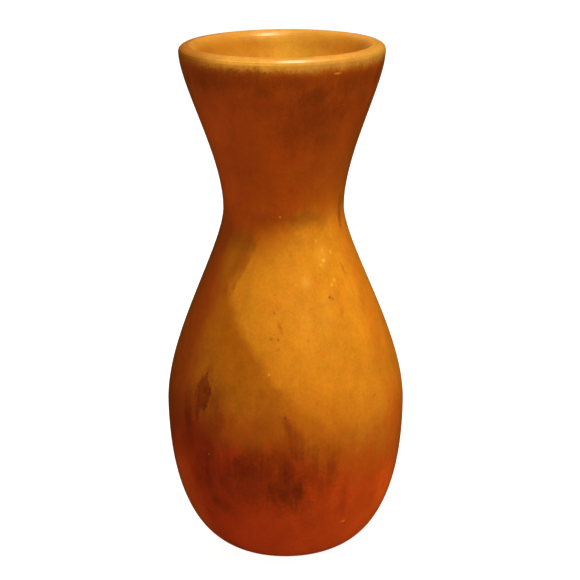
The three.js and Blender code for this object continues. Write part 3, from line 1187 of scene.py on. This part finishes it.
stained = add_node(grown, "ShaderNodeAttribute", attribute_name="stained").outputs["Fac"]
bare_wood = blend(grown, 1.0, BARE, shade, way="MULTIPLY")
unstained = blend(grown, ease_between(grown, stained, 0.0, WIPED), bare_wood, wiped_wood)
finished_stain_and_light = blend(grown, ease_between(grown, stained, WIPED, 1.0), unstained, stain_and_painted_light)
grown.links.new(finished_stain_and_light, wood_shader.inputs["Base Color"])
print("wood colour done:", len(grown.nodes), "nodes")

# %% [markdown]
# ## The wood finish: gloss and relief
#
# The surface was sanded fine, waxed and rubbed. It has a soft sheen and only two glints, on the
# lip. Roughness follows the clouds and goes up where the wood is bare. The wax is a thin coat
# over it, smoother than the wood, and it gives the glints their bright middle. The relief is
# slight: fibres and pores, and the faint unevenness of hand sanding.

# %% Gloss and relief
matt = calc(grown, "MULTIPLY_ADD", fine_cloud, 0.16, 0.44)
matt = calc(grown, "MULTIPLY_ADD", dark, 0.1, matt)
bare_share = ease_between(grown, stained, 0.5, 0.1)
grown.links.new(calc(grown, "MULTIPLY_ADD", bare_share, 0.3, matt), wood_shader.inputs["Roughness"])
wood_shader.inputs["Specular IOR Level"].default_value = 0.4
wood_shader.inputs["Specular Tint"].default_value = (1.0, 0.62, 0.25, 1)
wood_shader.inputs["Coat Weight"].default_value = 0.4
wood_shader.inputs["Coat Roughness"].default_value = 0.22
wood_shader.inputs["Coat Tint"].default_value = (1.0, 0.92, 0.75, 1)

relief = calc(grown, "MULTIPLY_ADD", grain, 0.35, calc(grown, "MULTIPLY", fibre, 0.12))
relief = calc(grown, "MULTIPLY_ADD", fine_cloud, 0.5, relief)
relief = calc(grown, "MULTIPLY_ADD", pores, -0.25, relief)
relief = calc(grown, "MULTIPLY_ADD", dark, -0.1, relief)


def lay_relief(tree, shader, relief, strength, depth):
    """Bump on a shader, from a relief of a depth in metres."""
    bump = add_node(tree, "ShaderNodeBump", {"Height": relief, "Strength": strength, "Distance": depth})
    tree.links.new(bump.outputs["Normal"], shader.inputs["Normal"])


lay_relief(grown, wood_shader, relief, strength=0.35, depth=0.25 * MM)
print("wood finish done:", len(grown.nodes), "nodes")

# %% [markdown]
# ## The neck
#
# The neck is the section with the most in it: the rolled lip, the flare, the funnel inside it,
# the ledge that the liner hangs on, the throat, and the spigot that goes into the belly. They
# could be turned one by one and joined, but one outline draws them all, so their walls stay
# true to each other. The lip rolls over in two strokes: a quarter of an ellipse outside, and a
# longer and softer curve that runs down into the funnel inside.

# %% Turn the neck
WOOD_FACETS = 200
HAND_WAVE = 0.22 * MM
OUTER_ROLL = 5 * MM
INNER_ROLL_DEPTH = 4.5 * MM
CREST_HANDLE = 4.2 * MM
FUNNEL_HANDLE = 4.4 * MM

lip_top = (lip_radius - OUTER_ROLL, vase_height)
lip_outside = (lip_radius, lip_height)
funnel_wall, rolled_away = cut_at_height(funnel_line, lip_height - INNER_ROLL_DEPTH)
roll_end = funnel_wall[3]
roll_handle = roll_end + FUNNEL_HANDLE * (rolled_away[1] - rolled_away[0]).normalized()
mouth_height = (throat_end + spigot_end) / 2

neck_outline = draw_outline(
    "neck_outline",
    [
        corner(spigot_radius, spigot_end, ease=0.8 * MM),
        corner(spigot_radius, joint_height),
        corner(joint_radius, joint_height, ease=0.05 * MM, stained=1.0),
        along(neck_shoulder, stained=1.0),
        along(flare_line, stained=1.0),
        rounded(lip_outside, (lip_radius, vase_height), lip_top, stained=1.0),
        curve((lip_top[0] - CREST_HANDLE, vase_height), roll_handle, *roll_end, stained=WIPED),
        back_along(funnel_wall, stained=WIPED),
        corner(seat_radius, seat_height, stained=WIPED),
        corner(throat_radius, seat_height, ease=0.4 * MM, stained=WIPED),
        corner(throat_radius, throat_end),
        curve((throat_radius, mouth_height), (spigot_bore, mouth_height), spigot_bore, spigot_end),
    ],
)
neck = turn_piece("neck_turned", neck_outline, wood, facets=WOOD_FACETS, wave_height=HAND_WAVE)

# %% [markdown]
# ## The belly
#
# The belly is a hollow form: outside it swells to its widest below the middle, and inside it
# was cut out through the foot, with a wall about as thick as a finger. At the top is the socket
# for the spigot, and below are the stepped bore for the plug and the shallow recess for the
# felt. Solidify could give the outside a wall of one thickness, but not these steps, so the
# outline draws the inside as well.

# %% Turn the belly
HOLLOW_TOP_FULLNESS = 0.5
HOLLOW_SIDE_FULLNESS = 0.45
HOLLOW_FLOOR_FULLNESS = 0.6

floor_height = plug_high.z
plug_step_bore = plug_step_radius + glue_gap
plug_bore = plug_radius + glue_gap
felt_top = felt_high.z
hollow_top = spigot_end - glue_gap
hollow_rise = spigot_end - belly_height
hollow_drop = belly_height - floor_height
floor_reach = plug_step_radius + HOLLOW_FLOOR_FULLNESS * (cavity_radius - plug_step_radius)

belly_outline = draw_outline(
    "belly_outline",
    [
        corner(foot_radius, foot_height, ease=0.9 * MM, stained=1.0),
        along(foot_line, stained=1.0),
        along(belly_shoulder, stained=1.0),
        corner(socket_radius, joint_height),
        corner(socket_radius, hollow_top),
        corner(spigot_bore, hollow_top, ease=0.4 * MM),
        curve(
            (spigot_bore, hollow_top - UNDER_WAIST * hollow_rise),
            (cavity_radius, belly_height + HOLLOW_TOP_FULLNESS * hollow_rise),
            cavity_radius,
            belly_height,
        ),
        curve(
            (cavity_radius, belly_height - HOLLOW_SIDE_FULLNESS * hollow_drop),
            (floor_reach, floor_height),
            plug_step_bore,
            floor_height,
        ),
        corner(plug_step_bore, plug_shoulder),
        corner(plug_bore, plug_shoulder),
        corner(plug_bore, felt_top),
        corner(recess_radius, felt_top),
        corner(recess_radius, foot_height, ease=0.3 * MM),
    ],
)
belly = turn_piece("belly_turned", belly_outline, wood, facets=WOOD_FACETS, wave_height=HAND_WAVE)

# %% [markdown]
# ## The plug
#
# The plug closes the hole that the belly was hollowed through. It is a stepped disc of the same
# wood, glued in, so it shows only inside, and under the felt.
#
# Its faces are end grain: rings round the axis of the tree, which is a little beside the axis of
# the lathe. The wood finish of the walls would give it streaks instead, so it has its own: a
# Wave texture makes rings, noise bends them, and the relief follows them.

# %% End-grain finish
SMALL_FACETS = 120
EARLY_WOOD = (0.46, 0.29, 0.14, 1)
LATE_WOOD = (0.6, 0.42, 0.22, 1)


def new_finish(name):
    """A material, with its node tree, its shader and the place of a point on the piece."""
    material = bpy.data.materials.new(name)
    material.use_nodes = True
    tree = material.node_tree
    point = add_node(tree, "ShaderNodeTexCoord").outputs["Object"]
    return material, tree, tree.nodes["Principled BSDF"], point


end_grain, cut, cut_shader, cut_place = new_finish("end_grain")
off_centre = add_node(cut, "ShaderNodeMapping", {"Vector": cut_place, "Location": (0.009, 0.004, 0)})
rings = add_node(
    cut,
    "ShaderNodeTexWave",
    {
        "Vector": off_centre.outputs[0],
        "Scale": 55.0,
        "Distortion": 3.0,
        "Detail": 2.0,
        "Detail Scale": 1.2,
    },
    wave_type="RINGS",
    rings_direction="Z",
)
cut_cloud = cloud(cut, cut_place, size=5, seed=2.0)
ring_share = calc(cut, "MULTIPLY_ADD", cut_cloud, 0.7, rings.outputs["Fac"])
ring_colour = blend(cut, ease_between(cut, ring_share, 0.1, 0.9), EARLY_WOOD, LATE_WOOD)
cut.links.new(ring_colour, cut_shader.inputs["Base Color"])
cut.links.new(calc(cut, "MULTIPLY_ADD", cut_cloud, 0.2, 0.7), cut_shader.inputs["Roughness"])
lay_relief(cut, cut_shader, ring_share, strength=0.3, depth=0.2 * MM)
print("end grain:", len(cut.nodes), "nodes")

# %% [markdown]
# The plug's outline starts and ends on the axis, so it stays open and the lathe closes it
# there: the points of a row that lies on the axis all merge into one.

# %% Turn the plug
plug_outline = draw_outline(
    "plug_outline",
    [
        corner(0, felt_top),
        corner(plug_radius, felt_top, ease=0.3 * MM),
        corner(plug_radius, plug_shoulder, ease=0.3 * MM),
        corner(plug_step_radius, plug_shoulder),
        corner(plug_step_radius, floor_height, ease=1.0 * MM),
        corner(0, floor_height),
    ],
    closed=False,
)
plug = turn_piece("plug_turned", plug_outline, end_grain, closed=False, facets=SMALL_FACETS)

# %% [markdown]
# ## The felt pad
#
# A disc of wool felt sits in the recess under the foot and keeps the vase from scratching a
# table. Fibres lie every way in it. Hair particles could stand for them, but the pad is only
# seen from below: noise at the size of a fibre makes both its mottled colour and its relief,
# and a little sheen gives the soft rim that wool has.

# %% Felt finish
DEEP_GREEN = (0.018, 0.045, 0.024, 1)
WORN_GREEN = (0.05, 0.105, 0.06, 1)

felt, wool, felt_shader, wool_place = new_finish("green_felt")
tufts = cloud(wool, wool_place, size=3, seed=1.0, detail=4.0)
fibres = cloud(wool, wool_place, size=0.6, seed=2.0, detail=4.0)
fuzz = calc(wool, "MULTIPLY_ADD", fibres, 1.2, calc(wool, "MULTIPLY", tufts, 0.8))
felt_colour = blend(wool, ease_between(wool, fuzz, -0.4, 0.4), DEEP_GREEN, WORN_GREEN)
wool.links.new(felt_colour, felt_shader.inputs["Base Color"])
felt_shader.inputs["Roughness"].default_value = 0.95
felt_shader.inputs["Sheen Weight"].default_value = 0.5
felt_shader.inputs["Sheen Roughness"].default_value = 0.5
lay_relief(wool, felt_shader, fuzz, strength=0.8, depth=0.3 * MM)
print("felt:", len(wool.nodes), "nodes")

# %% [markdown]
# Felt is cut with a knife, so its edge is nearly square, and it is rounded a little more below,
# where it rubs on the table. The lathe turns it like the wood, with no waves.

# %% Cut the felt
felt_radius = felt_high.x
felt_outline = draw_outline(
    "felt_outline",
    [
        corner(0, felt_low.z),
        corner(felt_radius, felt_low.z, ease=0.35 * MM),
        corner(felt_radius, felt_top, ease=0.2 * MM),
        corner(0, felt_top),
    ],
    closed=False,
)
felt_disc = turn_piece("felt_cut", felt_outline, felt, closed=False, facets=SMALL_FACETS)

# %% [markdown]
# ## The glass liner
#
# Water would spoil the wood, so it stands in a glass tube that hangs in the throat by its
# flange. The glass is clear. Blown glass is never quite even, so its colour has a breath of
# green that changes slowly, and its surface has slow shallow waves. A Glass shader would do for
# the render, but the principled shader with full transmission also exports well.

# %% Glass finish
PALE_GREEN = (0.9, 0.97, 0.94, 1)
NEARLY_CLEAR = (0.96, 0.99, 0.98, 1)

glass, melt, glass_shader, melt_place = new_finish("clear_glass")
flow = cloud(melt, melt_place, size=20, seed=3.0, long=2.0, detail=1.0)
glass_colour = blend(melt, ease_between(melt, flow, -0.3, 0.3), PALE_GREEN, NEARLY_CLEAR)
melt.links.new(glass_colour, glass_shader.inputs["Base Color"])
glass_shader.inputs["Roughness"].default_value = 0.03
glass_shader.inputs["IOR"].default_value = 1.5
glass_shader.inputs["Transmission Weight"].default_value = 1.0
lay_relief(melt, glass_shader, flow, strength=0.15, depth=0.5 * MM)
print("glass:", len(melt.nodes), "nodes")

# %% [markdown]
# The tube is blown with a thick rounded base, and its rim is melted round. It is a closed wall,
# outside and inside, because glass only bends light rightly when it has both.

# %% Blow the liner
liner_gap = 1.5 * MM
liner_wall = 2 * MM
liner_radius = throat_radius - liner_gap
liner_bore = liner_radius - liner_wall
liner_bottom = liner_low.z
liner_base = 4 * MM
liner_floor = liner_bottom + liner_base
outer_corner = 8 * MM
inner_corner = 6 * MM
flange_radius = liner_high.x
flange_top = liner_high.z
rim = 1 * MM


def tip_round(radius, height, before, after):
    """A rounded corner whose tip is given, with its start and its end as steps from the tip."""
    start = (radius + before[0], height + before[1])
    end = (radius + after[0], height + after[1])
    return rounded(start, (radius, height), end)


liner_outline = draw_outline(
    "liner_outline",
    [
        corner(0, liner_bottom),
        corner(liner_radius - outer_corner, liner_bottom),
        tip_round(liner_radius, liner_bottom, (-outer_corner, 0), (0, outer_corner)),
        corner(liner_radius, seat_height),
        corner(flange_radius, seat_height, ease=0.4 * MM),
        corner(flange_radius, flange_top - rim),
        tip_round(flange_radius, flange_top, (0, -rim), (-rim, 0)),
        corner(liner_bore + rim, flange_top),
        tip_round(liner_bore, flange_top, (rim, 0), (0, -rim)),
        corner(liner_bore, liner_floor + inner_corner),
        tip_round(liner_bore, liner_floor, (0, inner_corner), (-inner_corner, 0)),
        corner(0, liner_floor),
    ],
    closed=False,
)
liner = turn_piece("liner_blown", liner_outline, glass, closed=False, facets=SMALL_FACETS)

# %% [markdown]
# ## Riding on the model
#
# The neck, belly, plug and felt are one rigid body, glued together. The liner is the other and lifts out
# along the axis. Each piece stands for the model's node of the same shape, which is hidden.

# %% Ride and replace
for piece, body, node, slot in (
    (neck, "vase", "neck", "neck_wood"),
    (belly, "vase", "belly", "belly_wood"),
    (plug, "vase", "base_plug", "plug_wood"),
    (felt_disc, "vase", "felt_pad", "felt"),
    (liner, "liner", "glass_liner", "liner_glass"),
):
    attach(piece, body)
    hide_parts(node)
    print(piece.name, "rides on", body)
